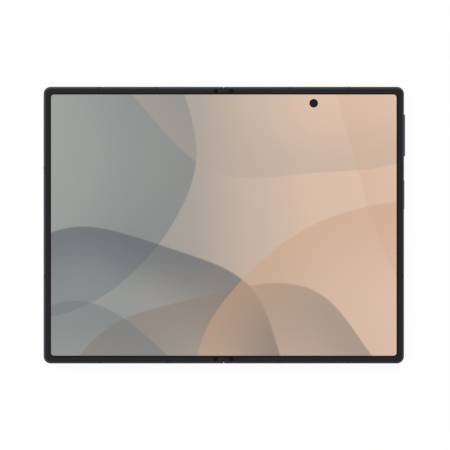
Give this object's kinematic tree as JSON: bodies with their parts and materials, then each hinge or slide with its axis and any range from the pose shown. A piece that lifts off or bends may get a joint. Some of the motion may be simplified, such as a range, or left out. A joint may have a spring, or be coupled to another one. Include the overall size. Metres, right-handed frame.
{
  "type": "foldable smartphone",
  "caption": "Book-style folding phone, lying open with its inner display up, that folds shut on a geared double hinge under a bending display.",
  "frame": {"origin": "on the fold line, halfway along it, at the level the phone lies on: the camera rings on its back", "axes": "+X across both halves towards the half with the keys, +Y along the fold towards the inner camera's edge, +Z out of the inner display"},
  "size_m": [0.1619, 0.1238, 0.0064],
  "materials": {
    "anodised_frame": "fine bead-blasted dark anodising",
    "keys": "dark anodising, slightly brighter edges",
    "island": "dark anodising",
    "rings": "turned and anodised almost black",
    "antenna_resin": "moulded, flush with the metal",
    "bezel": "soft satin black",
    "display": "lit picture under a smooth protective film",
    "steel_plate": "bright rolled steel",
    "hinge_steel": "sintered steel, satin",
    "gear_brass": "fine cut, satin",
    "washers": "bright spring steel",
    "screws": "bright",
    "back_glass": "frosted, painted behind in dark slate",
    "cover_glass": "polished, black behind",
    "cover_panel": "dark, switched off",
    "lens": "coated, dark",
    "camera": "black",
    "flash": "frosted, pale",
    "board": "solder mask",
    "battery": "laminated pouch",
    "port_shell": "stamped, bright",
    "speaker": "moulded box",
    "haptic": "stamped can",
    "copper": "wound flat wire",
    "switch": "polyimide strip with domes",
    "flex": "polyimide film",
    "magnet": "nickel plated"
  },
  "bodies": {
    "right_half": {"right_frame": "anodised_frame", "right_antenna_breaks": "antenna_resin", "right_bezel": "bezel", "right_display_panel": "display", "right_display_plate": "steel_plate", "right_rotors": "hinge_steel", "rear_glass": "back_glass", "camera_island": "island", "camera_rings": "rings", "camera_lenses": "lens", "rear_cameras": "camera", "flash_window": "flash", "inner_camera": "camera", "main_board": "board", "board_shields": "steel_plate", "right_battery": "battery", "usb_port": "port_shell", "bottom_speaker": "speaker", "haptic_motor": "haptic", "charging_coil": "copper", "key_switches": "switch", "right_magnets": "magnet", "right_screws": "screws"},
    "right_wing": {"right_wing_plate": "steel_plate"},
    "volume_key": {"volume_key": "keys"},
    "side_key": {"side_key": "keys"},
    "spine": {"spine_cover": "anodised_frame", "hinge_brackets": "hinge_steel", "bracket_screws": "screws", "fold_caps": "bezel", "fold_display": "display", "fold_lattice": "steel_plate", "hinge_flexes": "flex"},
    "left_idlers": {"left_idlers": "gear_brass"},
    "right_idlers": {"right_idlers": "gear_brass"},
    "left_arms": {"left_arms": "hinge_steel", "left_pinions": "gear_brass", "left_washers": "washers"},
    "right_arms": {"right_arms": "hinge_steel", "right_pinions": "gear_brass", "right_washers": "washers"},
    "left_half": {"left_frame": "anodised_frame", "left_antenna_breaks": "antenna_resin", "left_bezel": "bezel", "left_display_panel": "display", "left_display_plate": "steel_plate", "left_rotors": "hinge_steel", "cover_glass": "cover_glass", "cover_panel": "cover_panel", "cover_camera": "camera", "left_battery": "battery", "sub_board": "board", "top_speaker": "speaker", "card_reader": "steel_plate", "left_magnets": "magnet", "left_screws": "screws"},
    "left_wing": {"left_wing_plate": "steel_plate"},
    "card_tray": {"card_tray": "anodised_frame"}
  },
  "joints": [
    {"name": "fold", "type": "hinge", "parent": "spine", "child": "left_half", "pos_m": [-0.0012, 0, 0.00525], "axis": [0, 1, 0], "range_deg": [0, 90], "deforming": ["fold_display", "fold_lattice", "hinge_flexes"]},
    {"name": "right_fold", "type": "hinge", "parent": "spine", "child": "right_half", "pos_m": [0.0012, 0, 0.00525], "axis": [0, -1, 0], "range_deg": [0, 90]},
    {"name": "left_arm_turn", "type": "hinge", "parent": "spine", "child": "left_arms", "pos_m": [-0.00235, 0, 0.0041], "axis": [0, 1, 0], "range_deg": [0, 90]},
    {"name": "right_arm_turn", "type": "hinge", "parent": "spine", "child": "right_arms", "pos_m": [0.00235, 0, 0.0041], "axis": [0, -1, 0], "range_deg": [0, 90]},
    {"name": "left_idler_turn", "type": "hinge", "parent": "spine", "child": "left_idlers", "pos_m": [-0.00078, 0, 0.0041], "axis": [0, -1, 0], "range_deg": [0, 90]},
    {"name": "right_idler_turn", "type": "hinge", "parent": "spine", "child": "right_idlers", "pos_m": [0.00078, 0, 0.0041], "axis": [0, 1, 0], "range_deg": [0, 90]},
    {"name": "left_wing_tilt", "type": "hinge", "parent": "left_half", "child": "left_wing", "pos_m": [-0.00857, 0, 0.00528], "axis": [0, 1, 0], "range_deg": [0, 2.5]},
    {"name": "right_wing_tilt", "type": "hinge", "parent": "right_half", "child": "right_wing", "pos_m": [0.00857, 0, 0.00528], "axis": [0, -1, 0], "range_deg": [0, 2.5]},
    {"name": "volume_rock", "type": "hinge", "parent": "right_half", "child": "volume_key", "pos_m": [0.07723, 0.0402, 0.00382], "axis": [0, 0, 1], "range_deg": [-1.2, 1.2], "stiffness_Nm_per_rad": 0.4},
    {"name": "side_press", "type": "slide", "parent": "right_half", "child": "side_key", "axis": [-1, 0, 0], "range_m": [0, 0.0002], "stiffness_N_per_m": 8000},
    {"name": "tray_slide", "type": "slide", "parent": "left_half", "child": "card_tray", "axis": [0, -1, 0], "range_m": [0, 0.018]}
  ],
  "couplings": [
    {"joint": "right_fold", "follows": "fold", "ratio": 1},
    {"joint": "left_arm_turn", "follows": "fold", "ratio": 1},
    {"joint": "right_arm_turn", "follows": "fold", "ratio": 1},
    {"joint": "left_idler_turn", "follows": "fold", "ratio": 1},
    {"joint": "right_idler_turn", "follows": "fold", "ratio": 1},
    {"joint": "left_wing_tilt", "follows": "fold", "ratio": 0.027778},
    {"joint": "right_wing_tilt", "follows": "fold", "ratio": 0.027778}
  ]
}
